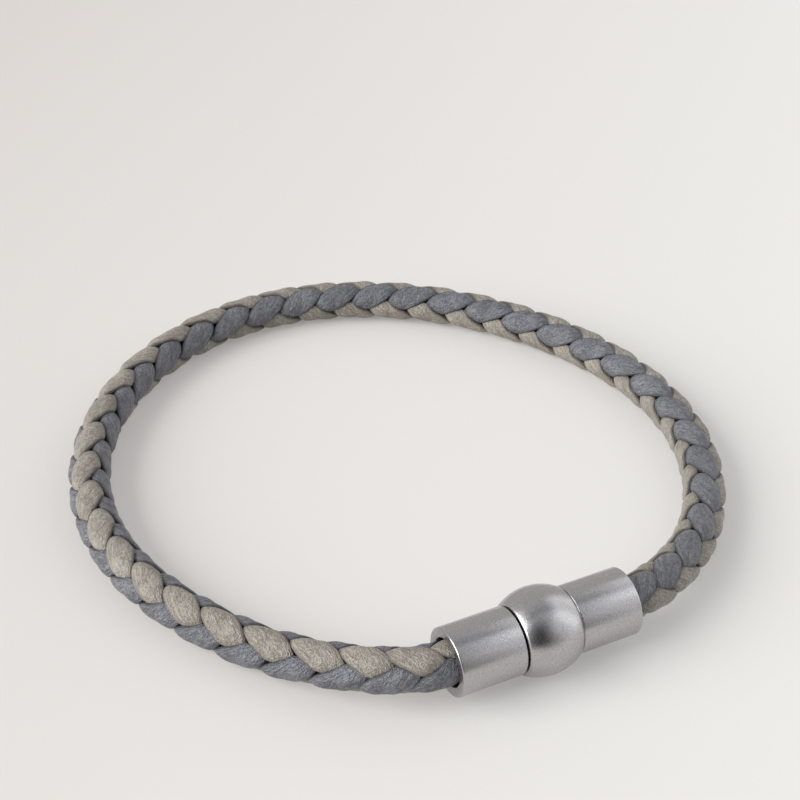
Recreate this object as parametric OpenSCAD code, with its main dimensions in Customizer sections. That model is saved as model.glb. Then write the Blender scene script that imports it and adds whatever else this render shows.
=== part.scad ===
// Round-braided leather bracelet with a two-part steel clasp, closed and lying
// on a flat surface. Two taupe and two slate grey strands are braided over and
// under each other, and each end of the braid is glued into a cup of the clasp.
// Sizes are in millimetres and +Z is up. The origin is on the surface, in the
// middle of the bracelet. The clasp lies along X at the -Y side of the loop.

/* [Braid] */
// Outer diameter of the round braid
braid_d = 4.8; // [4.4:0.1:5.2]
// Distance from one lozenge of a row to the next
pitch = 5.35; // [5:0.05:5.7]
// Lozenges of one row, from cup mouth to cup mouth
lozenges = 37; // [34:1:39]
// Length of braid that is glued into each cup
glued_len = 3; // [1.8:0.1:3.3]

/* [Clasp] */
// Length of the clasp, from mouth to mouth
clasp_len = 20; // [19.5:0.5:24]
// Outer diameter of both cups
cup_d = 7; // [6.6:0.1:7.2]
// Depth of the bore that takes the braid
bore_depth = 5; // [4.9:0.1:5.2]
// Clearance round the braid in its bore
bore_clearance = 0.08; // [0.05:0.01:0.15]
// Bevel on the edges of the cups
bevel = 0.15; // [0.1:0.05:0.25]
// Diameter of the ball-shaped collar
ball_d = 9; // [8.6:0.1:10]
// Diameter of the collar at its two rims
ball_rim_d = 7.2; // [7:0.1:7.6]
// Length of the collar, from rim to rim
ball_len = 6; // [5.6:0.1:6.4]
// Distance of the collar's middle from the clasp's middle
ball_shift = 0.2; // [0:0.05:0.4]
// Width of the joint where the clasp parts
joint_w = 0.15; // [0.1:0.05:0.3]
// Diameter of the hidden locking plug
plug_d = 4; // [3:0.1:4.6]
// Length of the hidden locking plug
plug_len = 2.4; // [1.6:0.1:2.4]
// Clearance round the plug
plug_clearance = 0.05; // [0.03:0.01:0.1]

/* [Lie] */
// Length over which the braid comes down from a cup to the surface
landing_len = 22; // [15:1:40]

/* [Hidden] */

TAUPE = "#a39b8e";
GREY = "#6c7079";
STEEL = "#b7b8ba";
IRON = "#5e6064";
STEEL_FN = 96;

// Bend of the braid: [share of its length from the left cup, sharpness]. A
// sharpness of 1 is the bend of a true circle.
BENDS = [
    [0.00, 4.85],
    [0.03, 1.75],
    [0.07, 0.40],
    [0.20, 0.95],
    [0.35, 0.83],
    [0.50, 1.17],
    [0.65, 0.67],
    [0.81, 0.95],
    [0.93, 0.90],
    [0.97, 1.12],
    [1.00, 3.50]
];

// Twist of the braid: [share of its length, where a taupe row faces], in
// degrees from the outside of the loop towards the top.
TWISTS = [
    [0.00, 85],
    [0.15, 73],
    [0.30, 78],
    [0.45, 68],
    [0.60, 32],
    [0.70, 46],
    [0.80, 22],
    [0.90, -6],
    [1.00, -20]
];

// Section of a strand where it lies over, beside and under its neighbours, for
// a braid of BASE_D. Its columns are the radius of its middle from the braid's
// axis, half its thickness, half the angle that it wraps round the braid, half
// its reach along the braid, and the drop of its edges.
BASE_D = 4.8;
//        middle  thick  wrap  reach  drop
OVER   = [2.04,   0.36,  41,   1.70,  0.04];
BESIDE = [1.39,   0.49,  33,   1.20,  0.02];
UNDER  = [0.44,   0.38,  51,   1.30,  0.00];
MIDDLE = 0;
THICK = 1;
WRAP = 2;
REACH = 3;
DROP = 4;

// Corners of a strand's section, and sections in one pitch of the braid
SECTION_SIDES = 8;
RINGS_PER_PITCH = 6;
// Ring at which the first taupe lozenge is widest, counted from the left cup
FIRST_LOZENGE = 2;
// Rings past the glued ends, which the reach of a section needs
SPARE_RINGS = 3;
// Length by which a cut runs past the face that it opens
OVERRUN = 1;

half_clasp = clasp_len / 2;
bore_d = braid_d + 2 * bore_clearance;
ring_step = pitch / RINGS_PER_PITCH;
rings = lozenges * RINGS_PER_PITCH;
glued_rings = floor(glued_len / ring_step);
collar_start = ball_shift - ball_len / 2;
joint_middle = collar_start - joint_w / 2;

function ease(t) = let (u = max(0, min(1, t))) u * u * (3 - 2 * u);
function direction(angle) = [cos(angle), sin(angle)];
function total(list) = list * [for (item = list) 1];

// Line of the braid, ring by ring. It leaves the left cup along -X and turns
// clockwise through a full circle. The small misfit is spread along its length.
function bend(i) = lookup(i / rings, BENDS) + lookup((i + 1) / rings, BENDS);
bend_sum = total([for (i = [0 : rings - 1]) bend(i)]);
function turn(i) = 360 * bend(i) / bend_sum;
headings = [for (i = 0, a = 180; i <= rings; a = a - turn(i), i = i + 1) a];
function step(i) = ring_step * direction(headings[i] - turn(i) / 2);
free_line = [for (i = 0, p = [-half_clasp, 0]; i <= rings; p = p + step(i), i = i + 1) p];
misfit = [half_clasp, 0] - free_line[rings];
line = [for (i = [0 : rings]) free_line[i] + misfit * ease(i / rings)];

xs = [for (p = line) p.x];
ys = [for (p = line) p.y];
middle = [(min(xs) + max(xs)) / 2, (max(ys) + braid_d / 2 - ball_d / 2) / 2];

// Height of the braid's axis: the clasp lies on its collar, and the braid comes
// down from both cups to lie on the surface itself.
function height(i) =
    let (landed = ease(min(i, rings - i) * ring_step / landing_len))
    ball_d / 2 + (braid_d - ball_d) / 2 * landed;
function twist(i) = lookup(i / rings, TWISTS);

// Stations along the braid: x, y, z, heading, twist. The first and last ones
// run straight on into the cups.
function station(i) =
    i < 0 ? [-half_clasp - i * ring_step, 0, ball_d / 2, 180, twist(0)]
    : i > rings ? [half_clasp - (i - rings) * ring_step, 0, ball_d / 2, -180, twist(rings)]
    : [line[i].x, line[i].y, height(i), headings[i], twist(i)];
margin = glued_rings + SPARE_RINGS;
stations = [for (i = [-margin : rings + margin]) station(i)];
function at(i) =
    let (n = floor(i), part = i - n)
    stations[n + margin] * (1 - part) + stations[n + margin + 1] * part;

// A point of the braid, from its place along it in rings, the angle round it
// and its radius
function spot(i, around, radius) =
    let (s = at(i), a = around + s[4], out = cos(a) * radius)
    [s.x - sin(s[3]) * out - middle.x,
     s.y + cos(s[3]) * out - middle.y,
     s.z + sin(a) * radius];

// The strand's section at a point of its weave: over is 1, beside 0, under -1
function section(weave) =
    BESIDE + (OVER - UNDER) / 2 * weave + ((OVER + UNDER) / 2 - BESIDE) * weave * weave;

// One ring of a strand. A hand of 1 turns one way round the braid, and -1 the
// other way. start is the strand's angle at the first lozenge.
function strand_ring(i, hand, start) =
    let (around = start + hand * 180 * (i - FIRST_LOZENGE) / RINGS_PER_PITCH,
         now = section(hand * cos(2 * around)),
         size = braid_d / BASE_D)
    [for (k = [0 : SECTION_SIDES - 1])
        let (a = 360 * k / SECTION_SIDES,
             across = cos(a),
             depth = now[THICK] * sin(a) - now[DROP] * across * across)
        spot(i - now[REACH] * across / ring_step,
             around + hand * now[WRAP] * across,
             size * (now[MIDDLE] + depth))];

// Faces of a tube of rings. The faces of a mirrored tube are turned round.
function tube_faces(ring_count, sides, hand) =
    let (last = (ring_count - 1) * sides,
         faces = concat(
             [for (i = [0 : ring_count - 2], k = [0 : sides - 1])
                 let (a = i * sides + k, b = i * sides + (k + 1) % sides)
                 each [[a, b, b + sides], [a, b + sides, a + sides]]],
             [for (k = [1 : sides - 2]) [0, k + 1, k]],
             [for (k = [1 : sides - 2]) [last, last + k, last + k + 1]]))
    hand > 0 ? faces : [for (f = faces) [f[2], f[1], f[0]]];

// One strand, from inside the left cup round the loop to inside the right one
module strand(hand, start) {
    rows = [for (i = [-glued_rings : rings + glued_rings]) strand_ring(i, hand, start)];
    polyhedron(points = [for (row = rows) each row],
               faces = tube_faces(len(rows), SECTION_SIDES, hand));
}

module taupe_strand_1() {
    color(TAUPE) strand(1, 0);
}

module taupe_strand_2() {
    color(TAUPE) strand(1, 180);
}

module grey_strand_1() {
    color(GREY) strand(-1, 0);
}

module grey_strand_2() {
    color(GREY) strand(-1, 180);
}

// Lays a piece that is turned about Z along the clasp's axis
module on_clasp() {
    translate([-middle.x, -middle.y, ball_d / 2]) rotate([0, 90, 0]) children();
}

// Round bar with bevelled edges between two places on the axis
module bar(from, to, d) {
    r = d / 2;
    rotate_extrude($fn = STEEL_FN)
        polygon([[0, from], [r - bevel, from], [r, from + bevel],
                 [r, to - bevel], [r - bevel, to], [0, to]]);
}

// Bore for the braid, open towards the mouth on the given side
module bore(side) {
    from = side > 0 ? half_clasp - bore_depth : -half_clasp - OVERRUN;
    translate([0, 0, from]) cylinder(d = bore_d, h = bore_depth + OVERRUN, $fn = STEEL_FN);
}

// Locking plug across the joint or, with a clearance, the room that holds it
module plug(clearance) {
    translate([0, 0, joint_middle])
        cylinder(d = plug_d + 2 * clearance, h = plug_len + 2 * clearance, center = true,
                 $fn = STEEL_FN);
}

// Left cup: a turned steel tube with a closed inner end
module left_cup() {
    color(STEEL) on_clasp() difference() {
        bar(-half_clasp, collar_start - joint_w, cup_d);
        bore(-1);
        plug(plug_clearance);
    }
}

// Collar's outline: one arc through both rims and the widest place
module collar() {
    rise = (ball_d - ball_rim_d) / 2;
    arc_r = (pow(ball_len / 2, 2) + rise * rise) / (2 * rise);
    translate([0, 0, ball_shift]) rotate_extrude($fn = STEEL_FN) intersection() {
        translate([ball_d / 2 - arc_r, 0]) circle(arc_r, $fn = STEEL_FN);
        translate([0, -ball_len / 2]) square([ball_d, ball_len]);
    }
}

// Right cup, turned in one piece with the ball-shaped collar
module ball_cup() {
    color(STEEL) on_clasp() difference() {
        union() {
            collar();
            bar(ball_shift, half_clasp, cup_d);
        }
        bore(1);
        plug(plug_clearance);
    }
}

// Plain plug, hidden inside the closed clasp
module locking_plug() {
    color(IRON) on_clasp() plug(0);
}

taupe_strand_1();
taupe_strand_2();
grey_strand_1();
grey_strand_2();
left_cup();
ball_cup();
locking_plug();
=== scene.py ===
# Woven leather bracelet, closed and lying on a pale floor. It is put together
# as the real one is: the laces are braided, the ends go into the two halves of
# the clasp, and the clasp is closed.

import math

import bmesh
import bpy
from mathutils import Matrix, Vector


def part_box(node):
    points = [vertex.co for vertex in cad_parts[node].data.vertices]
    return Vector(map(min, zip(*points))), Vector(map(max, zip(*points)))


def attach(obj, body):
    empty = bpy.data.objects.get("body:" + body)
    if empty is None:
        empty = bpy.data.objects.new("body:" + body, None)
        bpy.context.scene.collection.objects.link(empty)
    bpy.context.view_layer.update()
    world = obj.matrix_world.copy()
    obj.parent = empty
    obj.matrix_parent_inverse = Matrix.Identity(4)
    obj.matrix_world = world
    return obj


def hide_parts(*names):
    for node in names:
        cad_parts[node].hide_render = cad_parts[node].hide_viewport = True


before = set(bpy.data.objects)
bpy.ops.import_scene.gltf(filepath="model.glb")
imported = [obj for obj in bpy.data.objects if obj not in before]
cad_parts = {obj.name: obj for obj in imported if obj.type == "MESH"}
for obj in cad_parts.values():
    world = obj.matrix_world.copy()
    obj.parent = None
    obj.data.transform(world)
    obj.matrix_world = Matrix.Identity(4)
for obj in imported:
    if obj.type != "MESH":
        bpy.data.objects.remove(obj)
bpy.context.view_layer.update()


# The line of the braid
# The braid comes out of the left cup, is bent round to the right one, and
# comes down from both cups to lie on the floor. It is a little stiff, so the
# bends are uneven: each row is a share of the length and how sharp it bends.
MM = 0.001
BENDS = (
    (0.00, 4.85), (0.03, 1.75), (0.07, 0.40), (0.20, 0.95), (0.35, 0.83), (0.50, 1.17),
    (0.65, 0.67), (0.81, 0.95), (0.93, 0.90), (0.97, 1.12), (1.00, 3.50),
)
# Each row is a share of the length, and where a row of taupe lozenges faces
# there: degrees from the outside of the loop towards the top. The laces here
# lie a little back from those places.
TWISTS = (
    (0.00, 85), (0.15, 73), (0.30, 78), (0.45, 68), (0.60, 32), (0.70, 46),
    (0.80, 22), (0.90, -6), (1.00, -20),
)
LACE_TURN_IN = math.radians(-2.4)
# From one lozenge of a row to the next, and the lozenges of a row
PITCH = 5.35 * MM
LOZENGES = 37
BRAID_RADIUS = 2.4 * MM
# Length over which the braid comes down from a cup to the floor
LANDING = 22 * MM
STEPS_PER_PITCH = 24

left_low, left_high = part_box("left_cup")
ball_low, ball_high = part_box("ball_cup")
clasp_y = (left_low.y + left_high.y) / 2
clasp_z = (left_low.z + left_high.z) / 2
mouths = (Vector((left_low.x, clasp_y, 0)), Vector((ball_high.x, clasp_y, 0)))

steps = LOZENGES * STEPS_PER_PITCH
step_length = PITCH / STEPS_PER_PITCH


def from_table(table, place):
    """The value at a place that lies between two rows of a table."""
    for (a, low), (b, high) in zip(table, table[1:]):
        if place <= b:
            return low + (high - low) * (place - a) / (b - a)
    return table[-1][1]


def ease(place):
    """A soft rise from 0 at place 0 to 1 at place 1."""
    t = min(max(place, 0), 1)
    return t * t * (3 - 2 * t)


bends = [from_table(BENDS, (i + 0.5) / steps) for i in range(steps)]
headings = [math.pi]
line = [mouths[0].copy()]
for bend in bends:
    turn = 2 * math.pi * bend / sum(bends)
    course = headings[-1] - turn / 2
    line.append(line[-1] + step_length * Vector((math.cos(course), math.sin(course), 0)))
    headings.append(headings[-1] - turn)
misfit = mouths[1] - line[-1]
for i, point in enumerate(line):
    point += misfit * ease(i / steps)
    landed = ease(min(i, steps - i) * step_length / LANDING)
    point.z = clasp_z + (BRAID_RADIUS - clasp_z) * landed


def on_braid(along, out, up):
    """The place at a length along the braid and two distances from its middle."""
    i = min(max(along / step_length, 0), steps)
    n = min(int(i), steps - 1)
    part = i - n
    centre = line[n].lerp(line[n + 1], part)
    heading = headings[n] + (headings[n + 1] - headings[n]) * part
    ahead = Vector((math.cos(heading), math.sin(heading), 0))
    centre += ahead * (along - i * step_length)
    twist = math.radians(from_table(TWISTS, i / steps)) + LACE_TURN_IN
    outward = Vector((-ahead.y, ahead.x, 0))
    return (centre + (out * math.cos(twist) - up * math.sin(twist)) * outward
            + (out * math.sin(twist) + up * math.cos(twist)) * Vector((0, 0, 1)))


# Leather laces
# Four flat laces of soft grained leather, two dyed taupe and two slate grey.
# Each runs spirally round the braid, the taupe ones one way and the grey ones
# the other, and goes over a neighbour and under the next.
LACE_SIDES = 36
LACE_ROWS_PER_PITCH = 30
# Length that is glued into each cup, and the first taupe lozenge's distance
# from the left cup's mouth
GLUED = 2.67 * MM
FIRST_LOZENGE = 2.08 * MM
# The lozenges are squeezed and drawn out a little by hand: a share of the
# length, and how many lozenges further on the weave lies there.
SLIPS = (
    (0.00, 0.35), (0.02, 0.22), (0.05, 0.02), (0.12, -0.02), (0.20, -0.14), (0.27, -0.19),
    (0.33, -0.06), (0.40, 0.03), (0.47, 0.25), (0.52, 0.18), (0.58, 0.01), (0.67, -0.02),
    (0.74, -0.07), (0.80, 0.0), (0.87, -0.04), (0.95, 0.12), (0.97, 0.08), (1.00, -0.18),
)
# The weave repeats every half turn, so the lace's middle and its leading edge
# are sums of waves: (waves in a turn, cosine part, sine part), in mm. Ahead is
# along the braid, out is from its middle towards a lozenge, round is across.
MIDDLE_OUT = ((1, 2.11, 0), (3, -0.27, 0))
MIDDLE_ROUND = ((1, 0, 0.92), (3, 0, 0.11))
EDGE_AHEAD = ((0, 0.88, 0), (2, -0.36, 0.07), (4, 0.04, 0.03))
EDGE_OUT = ((1, 1.64, 0.47), (3, -0.24, 0.21), (5, 0.14, -0.06))
EDGE_ROUND = ((1, -1.27, 0.74), (3, -0.07, -0.05))
# Half its thickness where it lies over and, bunched up, under its neighbours,
# and how closely the bunching keeps to the part that lies under
HALF_THICK = (0.44 * MM, 0.88 * MM)
BUNCHING = 4
# Form of its section: 1 is an ellipse, and less has blunter edges
BLUNTNESS = 0.55
# Turn on either side over which its slope is measured
SMALL_TURN = 0.02
SEAM_WIDTH = 0.0001 * MM


def waves(turn, table):
    """The sum of a table's waves at a turn round the braid."""
    return sum(c * math.cos(n * turn) + s * math.sin(n * turn) for n, c, s in table) * MM


def across_lace(turn):
    """The lace's leading edge, middle and trailing edge at a turn round the braid."""
    along = PITCH * turn / math.pi
    lead = Vector((along + waves(turn, EDGE_AHEAD), waves(turn, EDGE_OUT),
                   waves(turn, EDGE_ROUND)))
    middle = Vector((along, waves(turn, MIDDLE_OUT), waves(turn, MIDDLE_ROUND)))
    trail = Vector((along - waves(-turn, EDGE_AHEAD), waves(-turn, EDGE_OUT),
                    -waves(-turn, EDGE_ROUND)))
    return lead, middle, trail


def curve_through(lead, middle, trail, t):
    """A place on the curve through the three, from the trail at -1 to the lead at 1."""
    return middle + (lead - trail) / 2 * t + ((lead + trail) / 2 - middle) * t * t


def lace(name, hand, side):
    """A flat strip, rolled to the lace's section and laid along the braid. Hand is
    the way it turns round the braid, and side the side of it where it starts."""
    length = LOZENGES * PITCH + 2 * GLUED
    rows = round(length / PITCH * LACE_ROWS_PER_PITCH)
    first = FIRST_LOZENGE + (PITCH / 2 if hand < 0 else 0)
    bm = bmesh.new()
    bmesh.ops.create_grid(bm, x_segments=LACE_SIDES, y_segments=rows, size=1)
    # Its UV map is in mm, round its section and along the braid
    uv = bm.loops.layers.uv.new("lace")
    width = 2 * across_lace(0)[0].yz.length
    places = {}
    for vert in bm.verts:
        row = round((vert.co.y + 1) / 2 * rows)
        places.setdefault(row, []).append((vert, (vert.co.x + 1) / 2))
    flat = {vert: (share, row) for row, verts in places.items() for vert, share in verts}
    for face in bm.faces:
        for loop in face.loops:
            share, row = flat[loop.vert]
            loop[uv].uv = (share * 2 * width / MM, row / rows * length / MM)
    for row, verts in places.items():
        place = row / rows * length - GLUED
        slip = from_table(SLIPS, place / (LOZENGES * PITCH))
        turn = math.pi * ((place - first) / PITCH - slip)
        under = math.sin(turn) ** BUNCHING
        half_thick = HALF_THICK[0] * (1 - under) + HALF_THICK[1] * under
        lead, middle, trail = across_lace(turn)
        before = across_lace(turn - SMALL_TURN)
        after = across_lace(turn + SMALL_TURN)
        shift = [b - a for a, b in zip(before, after)]
        for vert, share in verts:
            angle = 2 * math.pi * share - math.pi / 2
            t = math.cos(angle)
            rise = math.copysign(abs(math.sin(angle)) ** BLUNTNESS, math.sin(angle))
            sheet = curve_through(lead, middle, trail, t)
            sideways = (lead - trail) / 2 + ((lead + trail) - 2 * middle) * t
            onward = curve_through(*shift, t)
            along, out, up = sheet + onward.cross(sideways).normalized() * half_thick * rise
            # The other hand is a mirror image, a quarter turn on
            if hand < 0:
                out, up = -up, -out
            vert.co = on_braid(along + first + slip * PITCH, side * out, side * up)
    bmesh.ops.remove_doubles(bm, verts=bm.verts, dist=SEAM_WIDTH)
    bmesh.ops.holes_fill(bm, edges=bm.edges, sides=0)
    bmesh.ops.recalc_face_normals(bm, faces=bm.faces)
    for face in bm.faces:
        face.smooth = len(face.verts) == 4
    mesh = bpy.data.meshes.new(name)
    bm.to_mesh(mesh)
    bm.free()
    piece = bpy.data.objects.new(name, mesh)
    bpy.context.scene.collection.objects.link(piece)
    return piece


def linear(hex_colour):
    """A linear colour from its sRGB hex value."""
    parts = [int(hex_colour[i:i + 2], 16) / 255 for i in (1, 3, 5)]
    return [p / 12.92 if p <= 0.04045 else ((p + 0.055) / 1.055) ** 2.4 for p in parts] + [1]


def add(tree, kind, inputs=None, **settings):
    """Adds a node. Each input gets a value or a link from another node's socket."""
    made = tree.nodes.new(kind)
    for name, value in settings.items():
        setattr(made, name, value)
    for name, value in (inputs or {}).items():
        if isinstance(value, bpy.types.NodeSocket):
            tree.links.new(value, made.inputs[name])
        else:
            made.inputs[name].default_value = value
    return made


def new_material(name):
    """A material, its nodes and its shader."""
    made = bpy.data.materials.new(name)
    made.use_nodes = True
    return made, made.node_tree, made.node_tree.nodes["Principled BSDF"]


# Dyed calf leather with a fine pebbled grain, drawn out along the lace, and
# creases where the braid squeezes it. It is matt, its dye is a little uneven,
# and its edges are darkened with painted shade, which stands for the shade in
# the gaps between lozenges. The real grain is slightly finer, and is drawn
# just wide enough to show. Counts are round the section and along the braid.
PEBBLES_PER_MM = (6.0, 4.4)
CREASES_PER_MM = (3.2, 0.9)
SPECK = 0.14 * MM
PATCH = 4 * MM
# How much of each there is next to the specks, which count as 1
PEBBLE_PART = 0.75
CREASE_PART = 0.9
PATCH_PART = 0.5
# The hollow that has the dark dye and the rise that has the light one
TONE_FROM = 0.45
TONE_TO = 1.35
RELIEF = 0.13 * MM
LEATHER_ROUGHNESS = 0.38
# The middle of the outer side in the UV map, how far from it the painted shade
# at the lace's edges starts and is complete, in mm, and how much of the shade's
# colour it then has
UV_MIDDLE = 4.06
EDGE_SHADE_STARTS = 1.15
EDGE_SHADE_ENDS = 1.95
EDGE_SHADE_PART = 0.75


def dyed_leather(name, light, dark, gap_shade_colour):
    """Leather with its light and dark dye, and the colour of the painted shade at its edges,
    for the gaps between lozenges.
    """
    made, tree, shader = new_material(name)
    place = add(tree, "ShaderNodeTexCoord")
    drawn_out = add(tree, "ShaderNodeMapping", {
        "Vector": place.outputs["UV"], "Scale": (*PEBBLES_PER_MM, 1)})
    grain = add(tree, "ShaderNodeTexVoronoi", {
        "Vector": drawn_out.outputs["Vector"], "Scale": 1, "Detail": 1.0, "Roughness": 0.6},
        feature="SMOOTH_F1")
    specks = add(tree, "ShaderNodeTexNoise", {
        "Vector": place.outputs["Object"], "Scale": 1 / SPECK, "Detail": 2, "Roughness": 0.4})
    patches = add(tree, "ShaderNodeTexNoise", {
        "Vector": place.outputs["Object"], "Scale": 1 / PATCH, "Detail": 2})
    stretched = add(tree, "ShaderNodeMapping", {
        "Vector": place.outputs["UV"], "Scale": (*CREASES_PER_MM, 1)})
    creases = add(tree, "ShaderNodeTexNoise", {
        "Vector": stretched.outputs["Vector"], "Scale": 1, "Detail": 2, "Roughness": 0.5,
        "Distortion": 0.6})
    pebbles = add(tree, "ShaderNodeMath", {
        0: grain.outputs["Distance"], 1: PEBBLE_PART}, operation="MULTIPLY")
    folds = add(tree, "ShaderNodeMath", {
        0: creases.outputs["Fac"], 1: CREASE_PART}, operation="MULTIPLY")
    dips = add(tree, "ShaderNodeMath", {
        0: folds.outputs["Value"], 1: pebbles.outputs["Value"]}, operation="SUBTRACT")
    relief = add(tree, "ShaderNodeMath", {
        0: dips.outputs["Value"], 1: specks.outputs["Fac"]}, operation="ADD")
    bump = add(tree, "ShaderNodeBump", {
        "Height": relief.outputs["Value"], "Distance": RELIEF, "Strength": 1.0})
    mottle = add(tree, "ShaderNodeMath", {
        0: patches.outputs["Fac"], 1: PATCH_PART}, operation="MULTIPLY")
    tone = add(tree, "ShaderNodeMath", {
        0: relief.outputs["Value"], 1: mottle.outputs["Value"]}, operation="ADD")
    share = add(tree, "ShaderNodeMapRange", {
        "Value": tone.outputs["Value"], "From Min": TONE_FROM, "From Max": TONE_TO})
    mix = add(tree, "ShaderNodeMix", {
        "Factor": share.outputs["Result"], "A": linear(dark), "B": linear(light)},
        data_type="RGBA")
    # Painted shade: the colour darkens towards the lace's edges, where the gaps between
    # lozenges lie.
    over = add(tree, "ShaderNodeSeparateXYZ", {"Vector": place.outputs["UV"]})
    middle = add(tree, "ShaderNodeMath", {
        0: over.outputs["X"], 1: UV_MIDDLE}, operation="SUBTRACT")
    outward = add(tree, "ShaderNodeMath", {0: middle.outputs["Value"]}, operation="ABSOLUTE")
    edge = add(tree, "ShaderNodeMapRange", {
        "Value": outward.outputs["Value"], "From Min": EDGE_SHADE_STARTS, "From Max": EDGE_SHADE_ENDS,
        "To Max": EDGE_SHADE_PART}, interpolation_type="SMOOTHSTEP")
    dye_and_gap_shade = add(tree, "ShaderNodeMix", {
        "Factor": edge.outputs["Result"], "A": mix.outputs["Result"], "B": linear(gap_shade_colour)},
        data_type="RGBA")
    tree.links.new(dye_and_gap_shade.outputs["Result"], shader.inputs["Base Color"])
    tree.links.new(bump.outputs["Normal"], shader.inputs["Normal"])
    shader.inputs["Roughness"].default_value = LEATHER_ROUGHNESS
    return made


# The third colour of each leather is painted shade for the gaps between lozenges.
taupe_leather = dyed_leather("dyed_taupe_leather", "#b3aca1", "#787269", "#3a352f")
grey_leather = dyed_leather("dyed_slate_leather", "#8d8e93", "#505157", "#242529")
LACES = (
    ("taupe_lace_1", "taupe_strand_1", "taupe_leather", taupe_leather, 1, 1),
    ("taupe_lace_2", "taupe_strand_2", "taupe_leather", taupe_leather, 1, -1),
    ("grey_lace_1", "grey_strand_1", "grey_leather", grey_leather, -1, 1),
    ("grey_lace_2", "grey_strand_2", "grey_leather", grey_leather, -1, -1),
)
for name, strand, slot, material, hand, side in LACES:
    piece = lace(name, hand, side)
    piece.data.materials.append(material)
    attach(piece, "root")
    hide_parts(strand)


# The two halves of the clasp
# Both are turned from stainless steel and brushed satin. The left one is a
# plain cup, and the right one has the ball-shaped collar turned on its cup,
# with a fine groove beside the collar's rim.
TURN_STEPS = 128
CUP_RADIUS = 3.5 * MM
BORE_RADIUS = 2.48 * MM
BORE_DEPTH = 5 * MM
PLUG_RADIUS = 2.05 * MM
PLUG_DEPTH = 1.175 * MM
RIM_RADIUS = 3.6 * MM
BALL_RADIUS = 4.5 * MM
BALL_LENGTH = 6 * MM
BALL_ARC_STEPS = 32
GROOVE = 0.12 * MM
# An outer edge is rounded where it turns by more than the sharp angle
EDGE_RADIUS = 0.16 * MM
EDGE_STEPS = 4
SHARP_ANGLE = math.radians(40)
SMOOTH_ANGLE = math.radians(35)
POLE_WIDTH = 0.001 * MM


def turned(name, profile):
    """A piece turned about the clasp's axis from (place along it, radius) points."""
    bm = bmesh.new()
    verts = [bm.verts.new((x, clasp_y + radius, clasp_z)) for x, radius in profile]
    edges = [bm.edges.new(pair) for pair in zip(verts, verts[1:])]
    bmesh.ops.spin(bm, geom=verts + edges, cent=(0, clasp_y, clasp_z), axis=(1, 0, 0),
                   angle=2 * math.pi, steps=TURN_STEPS, use_merge=True)
    bmesh.ops.remove_doubles(bm, verts=bm.verts, dist=POLE_WIDTH)
    bmesh.ops.recalc_face_normals(bm, faces=bm.faces)
    sharp = [e for e in bm.edges if len(e.link_faces) == 2
             and e.calc_face_angle_signed(0) > SHARP_ANGLE]
    bmesh.ops.bevel(bm, geom=sharp, affect="EDGES", offset=EDGE_RADIUS, segments=EDGE_STEPS,
                    profile=0.5, material=-1)
    for face in bm.faces:
        face.smooth = True
    mesh = bpy.data.meshes.new(name)
    bm.to_mesh(mesh)
    bm.free()
    mesh.set_sharp_from_angle(angle=SMOOTH_ANGLE)
    piece = bpy.data.objects.new(name, mesh)
    bpy.context.scene.collection.objects.link(piece)
    return piece


# Stainless steel, brushed satin round the clasp on a lathe and then blasted
# fine. The grain is finer than a pixel, and is drawn as coarse as shows. It is
# finer along the clasp's axis than round it, and its gloss varies in clouds.
GRAIN = 0.16 * MM
FINER_ALONG = 1.6
CLOUD = 1.44 * MM
GRAIN_TONES = (0.3, 0.7)
GRAIN_DEPTH = 0.02 * MM
GRAIN_STRENGTH = 0.6
ROUGHNESS_SPREAD = 0.02


def brushed_steel(name, light, dark, roughness):
    """Steel with the light and dark colour of its grain."""
    made, tree, shader = new_material(name)
    place = add(tree, "ShaderNodeTexCoord")
    stretched = add(tree, "ShaderNodeMapping", {
        "Vector": place.outputs["Object"], "Scale": (FINER_ALONG, 1, 1)})
    grains = add(tree, "ShaderNodeTexNoise", {
        "Vector": stretched.outputs["Vector"], "Scale": 1 / GRAIN, "Detail": 2,
        "Roughness": 0.6})
    clouds = add(tree, "ShaderNodeTexNoise", {
        "Vector": place.outputs["Object"], "Scale": 1 / CLOUD, "Detail": 3})
    share = add(tree, "ShaderNodeMapRange", {
        "Value": grains.outputs["Fac"], "From Min": GRAIN_TONES[0], "From Max": GRAIN_TONES[1]})
    mix = add(tree, "ShaderNodeMix", {
        "Factor": share.outputs["Result"], "A": linear(dark), "B": linear(light)},
        data_type="RGBA")
    rough = add(tree, "ShaderNodeMapRange", {
        "Value": clouds.outputs["Fac"], "To Min": roughness - ROUGHNESS_SPREAD,
        "To Max": roughness + ROUGHNESS_SPREAD})
    bump = add(tree, "ShaderNodeBump", {
        "Height": grains.outputs["Fac"], "Distance": GRAIN_DEPTH, "Strength": GRAIN_STRENGTH})
    tree.links.new(mix.outputs["Result"], shader.inputs["Base Color"])
    tree.links.new(rough.outputs["Result"], shader.inputs["Roughness"])
    tree.links.new(bump.outputs["Normal"], shader.inputs["Normal"])
    shader.inputs["Metallic"].default_value = 1
    return made


satin_steel = brushed_steel("satin_stainless_steel", "#c0bfc0", "#a4a2a3", 0.27)
rim_start = ball_low.x
rim_end = rim_start + BALL_LENGTH
joint_left = left_high.x
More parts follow.
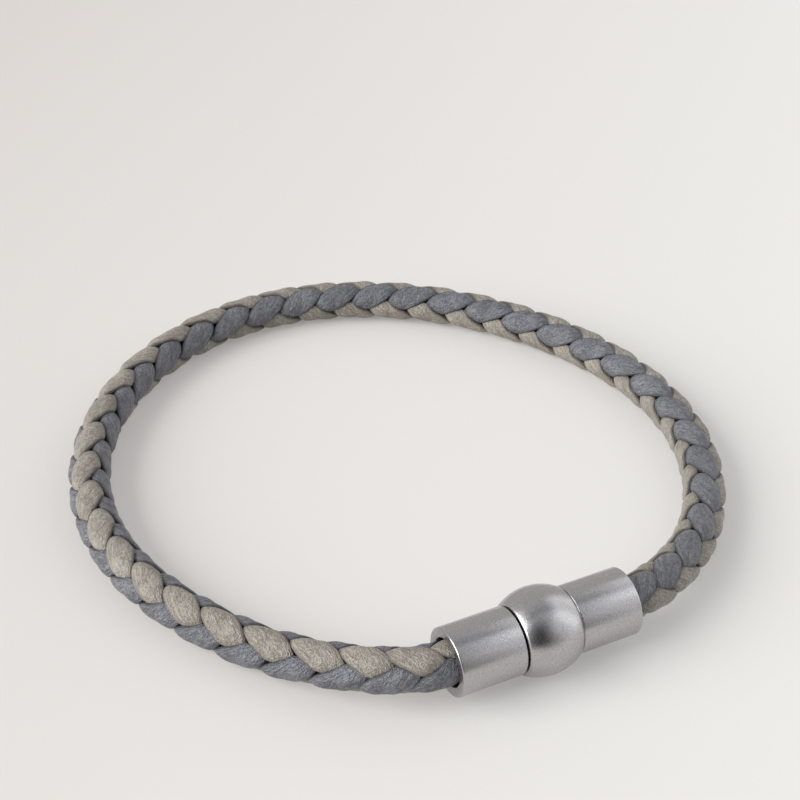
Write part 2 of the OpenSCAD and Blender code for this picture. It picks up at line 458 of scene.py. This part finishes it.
# The collar's outline is one arc through both rims and its widest place
rise = BALL_RADIUS - RIM_RADIUS
arc_radius = ((BALL_LENGTH / 2) ** 2 + rise ** 2) / (2 * rise)
arc = []
for i in range(BALL_ARC_STEPS + 1):
    x = BALL_LENGTH * (i / BALL_ARC_STEPS - 0.5)
    radius = BALL_RADIUS - arc_radius + math.sqrt(arc_radius ** 2 - x ** 2)
    arc.append((rim_start + BALL_LENGTH / 2 + x, radius))
CLASP = (
    ("left_cup_steel", "left_cup", [
        (left_low.x + BORE_DEPTH, 0), (left_low.x + BORE_DEPTH, BORE_RADIUS),
        (left_low.x, BORE_RADIUS), (left_low.x, CUP_RADIUS), (joint_left, CUP_RADIUS),
        (joint_left, PLUG_RADIUS), (joint_left - PLUG_DEPTH, PLUG_RADIUS),
        (joint_left - PLUG_DEPTH, 0)]),
    ("ball_cup_steel", "ball_cup", [
        (rim_start + PLUG_DEPTH, 0), (rim_start + PLUG_DEPTH, PLUG_RADIUS),
        (rim_start, PLUG_RADIUS)] + arc + [
        (rim_end, CUP_RADIUS - GROOVE), (rim_end + GROOVE, CUP_RADIUS - GROOVE),
        (rim_end + GROOVE, CUP_RADIUS), (ball_high.x, CUP_RADIUS), (ball_high.x, BORE_RADIUS),
        (ball_high.x - BORE_DEPTH, BORE_RADIUS), (ball_high.x - BORE_DEPTH, 0)]),
)
for name, cup, profile in CLASP:
    piece = turned(name, profile)
    piece.data.materials.append(satin_steel)
    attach(piece, "root")
    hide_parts(cup)


# The locking plug
# A plain turned steel plug across the joint, hidden in the closed clasp. Its
# steel is duller and darker than the satin of the cups.
plug_steel = brushed_steel("turned_plug_steel", "#96979a", "#828386", 0.4)
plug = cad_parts["locking_plug"]
plug.data.materials.clear()
plug.data.materials.append(plug_steel)


# Floor
# A wide sheet of pale, warm white card with no edge in sight. Painted shade
# makes it a little darker towards the back left, and it glows a little as
# painted light, which keeps shadows pale.
FLOOR_HALF = 1.5
PAINTED_LIGHT_TOWARDS = (0.8, -0.6, 0)
# Where on that way the painted shade is full and where it has gone, in metres
PAINTED_SHADE_AT = -0.12
PAINTED_LIGHT_AT = 0.06
CARD_ROUGHNESS = 0.9
CARD_GLOW = 0.25
bm = bmesh.new()
bmesh.ops.create_grid(bm, x_segments=1, y_segments=1, size=FLOOR_HALF)
mesh = bpy.data.meshes.new("floor")
bm.to_mesh(mesh)
bm.free()
floor = bpy.data.objects.new("floor", mesh)
bpy.context.scene.collection.objects.link(floor)
white_card, tree, shader = new_material("white_card")
place = add(tree, "ShaderNodeTexCoord")
towards = add(tree, "ShaderNodeVectorMath", {
    0: place.outputs["Object"], 1: PAINTED_LIGHT_TOWARDS}, operation="DOT_PRODUCT")
share = add(tree, "ShaderNodeMapRange", {
    "Value": towards.outputs["Value"], "From Min": PAINTED_SHADE_AT, "From Max": PAINTED_LIGHT_AT})
# Painted shade: the card's colour runs from the darker one at the back left to the lighter one.
mix = add(tree, "ShaderNodeMix", {
    "Factor": share.outputs["Result"], "A": linear("#9e9793"), "B": linear("#bebdba")},
    data_type="RGBA")
tree.links.new(mix.outputs["Result"], shader.inputs["Base Color"])
shader.inputs["Roughness"].default_value = CARD_ROUGHNESS
# Painted light: the card glows a little, though it is no lamp.
shader.inputs["Emission Color"].default_value = linear("#fffdfa")
shader.inputs["Emission Strength"].default_value = CARD_GLOW
floor.data.materials.append(white_card)


# Light
# One large soft lamp at the left, a weak one at the right in place of a
# reflector, and a room whose light comes most from above the camera. Each row
# is a lamp's name, its place, the side of its square in metres, and its watts.
LAMPS = (
    ("softbox", Vector((-1.22, 0.10, 0.72)), 1.1, 28),
    ("reflector", Vector((1.10, -0.05, 0.62)), 1.5, 5),
)
# The room's colours, from behind the bracelet at 0 to behind the camera at 1
CEILING = (
    (0.00, "#c8c6c4"), (0.30, "#bebdbc"), (0.44, "#b0b0b1"), (0.495, "#77787b"),
    (0.535, "#8d8e92"), (0.59, "#dddfe3"), (0.88, "#ececee"), (0.96, "#a9a7a5"),
    (1.00, "#979593"),
)
# The room is dark low behind the camera, and the steel mirrors that. These are
# the ways towards the dark and across it, how far a view has to point the first
# way for the full dark, how dark that is, and how far the second way it ends.
DARK_TOWARDS = (-0.358, -0.934, 0)
DARK_ACROSS = (0.934, -0.358, 0)
DARK_FULL_AT = 0.7
DARKEST = 0.97
DARK_HALF_WIDTH = 0.6
ROOM_STRENGTH = 1.12
scene = bpy.context.scene
world = bpy.data.worlds.new("studio")
scene.world = world
world.use_nodes = True
tree = world.node_tree
room = add(tree, "ShaderNodeTexCoord")
forward = add(tree, "ShaderNodeVectorMath", {
    0: room.outputs["Generated"], 1: (0, -1, 0)}, operation="DOT_PRODUCT")
share = add(tree, "ShaderNodeMapRange", {"Value": forward.outputs["Value"], "From Min": -1})
ceiling = add(tree, "ShaderNodeValToRGB", {"Fac": share.outputs["Result"]})
for spot, colour in CEILING[1:-1]:
    ceiling.color_ramp.elements.new(spot)
for stop, (spot, colour) in zip(ceiling.color_ramp.elements, CEILING):
    stop.position = spot
    stop.color = linear(colour)
facing = add(tree, "ShaderNodeVectorMath", {
    0: room.outputs["Generated"], 1: DARK_TOWARDS}, operation="DOT_PRODUCT")
lowness = add(tree, "ShaderNodeMapRange", {
    "Value": facing.outputs["Value"], "From Max": DARK_FULL_AT, "To Max": DARKEST})
aside = add(tree, "ShaderNodeVectorMath", {
    0: room.outputs["Generated"], 1: DARK_ACROSS}, operation="DOT_PRODUCT")
squared = add(tree, "ShaderNodeMath", {
    0: aside.outputs["Value"], 1: aside.outputs["Value"]}, operation="MULTIPLY")
nearness = add(tree, "ShaderNodeMapRange", {
    "Value": squared.outputs["Value"], "From Max": DARK_HALF_WIDTH ** 2,
    "To Min": 1, "To Max": 0}, interpolation_type="SMOOTHSTEP")
dark = add(tree, "ShaderNodeMath", {
    0: lowness.outputs["Result"], 1: nearness.outputs["Result"]}, operation="MULTIPLY")
lit = add(tree, "ShaderNodeMix", {
    "Factor": dark.outputs["Value"], "A": ceiling.outputs["Color"], "B": (0, 0, 0, 1)},
    data_type="RGBA")
tree.links.new(lit.outputs["Result"], tree.nodes["Background"].inputs["Color"])
tree.nodes["Background"].inputs["Strength"].default_value = ROOM_STRENGTH
for name, place, side, watts in LAMPS:
    light = bpy.data.lights.new(name, "AREA")
    light.shape = "SQUARE"
    light.size = side
    light.energy = watts
    lamp = bpy.data.objects.new(name, light)
    lamp.location = place
    lamp.rotation_euler = (-place).to_track_quat("-Z", "Y").to_euler()
    scene.collection.objects.link(lamp)
scene.view_settings.view_transform = "Standard"


# Camera
# Above and in front of the clasp, to the left of its middle, as in the
# photograph. It looks down and towards the right, by these degrees.
FROM_CLASP = Vector((-68.60, -106.36, 118.05)) * MM
LOOKS_DOWN = 34.42
LOOKS_RIGHT = 26.75
FOCAL_LENGTH = 77.48
SENSOR_WIDTH = 36
NEAREST = 0.01
lens = bpy.data.cameras.new("camera")
lens.sensor_width = SENSOR_WIDTH
lens.lens = FOCAL_LENGTH
lens.clip_start = NEAREST
camera = bpy.data.objects.new("camera", lens)
clasp_middle = Vector(((left_low.x + ball_high.x) / 2, clasp_y, 0))
camera.location = clasp_middle + FROM_CLASP
camera.rotation_euler = (math.radians(90 - LOOKS_DOWN), 0, math.radians(-LOOKS_RIGHT))
scene.collection.objects.link(camera)
scene.camera = camera
